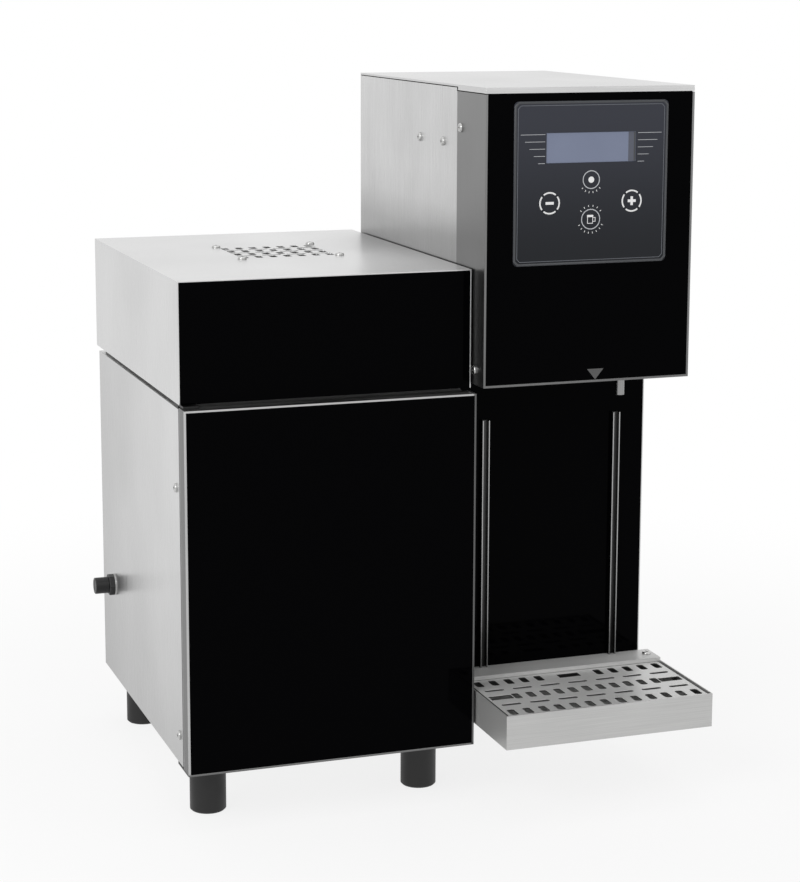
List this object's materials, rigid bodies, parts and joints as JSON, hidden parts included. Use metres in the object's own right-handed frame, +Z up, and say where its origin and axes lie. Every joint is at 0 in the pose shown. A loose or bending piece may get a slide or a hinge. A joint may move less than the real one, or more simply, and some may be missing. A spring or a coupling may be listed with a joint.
{
  "type": "automatic tea maker",
  "caption": "Worktop tea maker: a milk chiller cabinet with a hinged door and vented hood beside a tall dispensing tower with keys, spouts and a drip tray.",
  "frame": {"origin": "on the floor under the middle of the whole machine's box", "axes": "+X to the right seen from the front, +Y to the back, +Z up"},
  "size_m": [0.5501, 0.482, 0.7277],
  "materials": {
    "brushed_stainless": "fine vertical brushed grain",
    "liner_stainless": "satin sheet",
    "polished_stainless": "polished",
    "black_glass": "polished black glass",
    "membrane": "satin printed film",
    "key_film": "satin printed film",
    "display": "unlit liquid crystal display",
    "black_plastic": "moulded",
    "roller_plastic": "moulded",
    "gasket_rubber": "matt",
    "foam": "rigid foam",
    "aluminium": "extruded",
    "ceramic": "ceramic plates",
    "circuit_board": "solder mask",
    "hose_silicone": "silicone",
    "brass": "turned"
  },
  "bodies": {
    "housing": {"boiler_tank": "polished_stainless", "brew_spout": "polished_stainless", "cabinet_back": "brushed_stainless", "cabinet_bottom": "brushed_stainless", "cabinet_deck": "brushed_stainless", "cabinet_liner": "liner_stainless", "cold_block": "aluminium", "column_front": "black_glass", "column_side_right": "brushed_stainless", "control_board": "circuit_board", "display_module": "display", "drip_tray": "brushed_stainless", "fan_frame": "black_plastic", "feet": "gasket_rubber", "foam_insulation": "foam", "front_frame": "brushed_stainless", "front_rails": "polished_stainless", "fuse_body": "black_plastic", "fuse_nut": "black_plastic", "fuse_washer": "polished_stainless", "head_cover": "brushed_stainless", "head_floor": "brushed_stainless", "head_glass": "black_glass", "head_side_right": "brushed_stainless", "heat_sink": "aluminium", "heating_element": "polished_stainless", "hinge_brackets": "brushed_stainless", "hood_front_panel": "black_glass", "hood_neck": "gasket_rubber", "hood_shell": "brushed_stainless", "hoses": "hose_silicone", "hot_water_valve": "black_plastic", "milk_can": "liner_stainless", "milk_can_lid": "liner_stainless", "milk_pump": "black_plastic", "pan_screws": "polished_stainless", "panel_overlay": "membrane", "power_inlet": "black_plastic", "side_panel_left": "brushed_stainless", "side_panel_right": "brushed_stainless", "thermoelectric_module": "ceramic", "tower_back": "brushed_stainless", "tower_base": "brushed_stainless", "tower_lid": "brushed_stainless", "tower_side_left": "brushed_stainless", "tray_bracket": "brushed_stainless", "water_inlet": "brass", "water_spout": "polished_stainless"},
    "door": {"door_pan": "brushed_stainless", "door_core": "foam", "door_glass": "black_glass", "door_gasket": "gasket_rubber"},
    "drip_grid": {"drip_grid": "brushed_stainless"},
    "fan_rotor": {"fan_rotor": "black_plastic"},
    "pump_rotor": {"pump_rotor": "roller_plastic"},
    "fuse_cap": {"fuse_cap": "black_plastic"},
    "key_status": {"key_status": "key_film"},
    "key_minus": {"key_minus": "key_film"},
    "key_plus": {"key_plus": "key_film"},
    "key_dispense": {"key_dispense": "key_film"}
  },
  "joints": [
    {"name": "door_hinge", "type": "hinge", "parent": "housing", "child": "door", "pos_m": [-0.24905, -0.145, 0.06], "axis": [0, 0, -1], "range_deg": [0, 110]},
    {"name": "grid_lift", "type": "slide", "parent": "housing", "child": "drip_grid", "axis": [0, 0, 1], "range_m": [0, 0.1]},
    {"name": "fan_spin", "type": "hinge", "parent": "housing", "child": "fan_rotor", "pos_m": [-0.09605, 0.062, 0.5256], "axis": [0, 0, 1], "continuous": true},
    {"name": "pump_spin", "type": "hinge", "parent": "housing", "child": "pump_rotor", "pos_m": [0.10725, 0.086, 0.56], "axis": [0, 1, 0], "continuous": true},
    {"name": "fuse_cap_turn", "type": "hinge", "parent": "housing", "child": "fuse_cap", "pos_m": [-0.25925, 0.182, 0.167], "axis": [-1, 0, 0], "range_deg": [0, 90]},
    {"name": "key_status_press", "type": "slide", "parent": "housing", "child": "key_status", "axis": [0, 1, 0], "range_m": [0, 0.0005], "stiffness_N_per_m": 150},
    {"name": "key_minus_press", "type": "slide", "parent": "housing", "child": "key_minus", "axis": [0, 1, 0], "range_m": [0, 0.0005], "stiffness_N_per_m": 150},
    {"name": "key_plus_press", "type": "slide", "parent": "housing", "child": "key_plus", "axis": [0, 1, 0], "range_m": [0, 0.0005], "stiffness_N_per_m": 150},
    {"name": "key_dispense_press", "type": "slide", "parent": "housing", "child": "key_dispense", "axis": [0, 1, 0], "range_m": [0, 0.0005], "stiffness_N_per_m": 150}
  ]
}
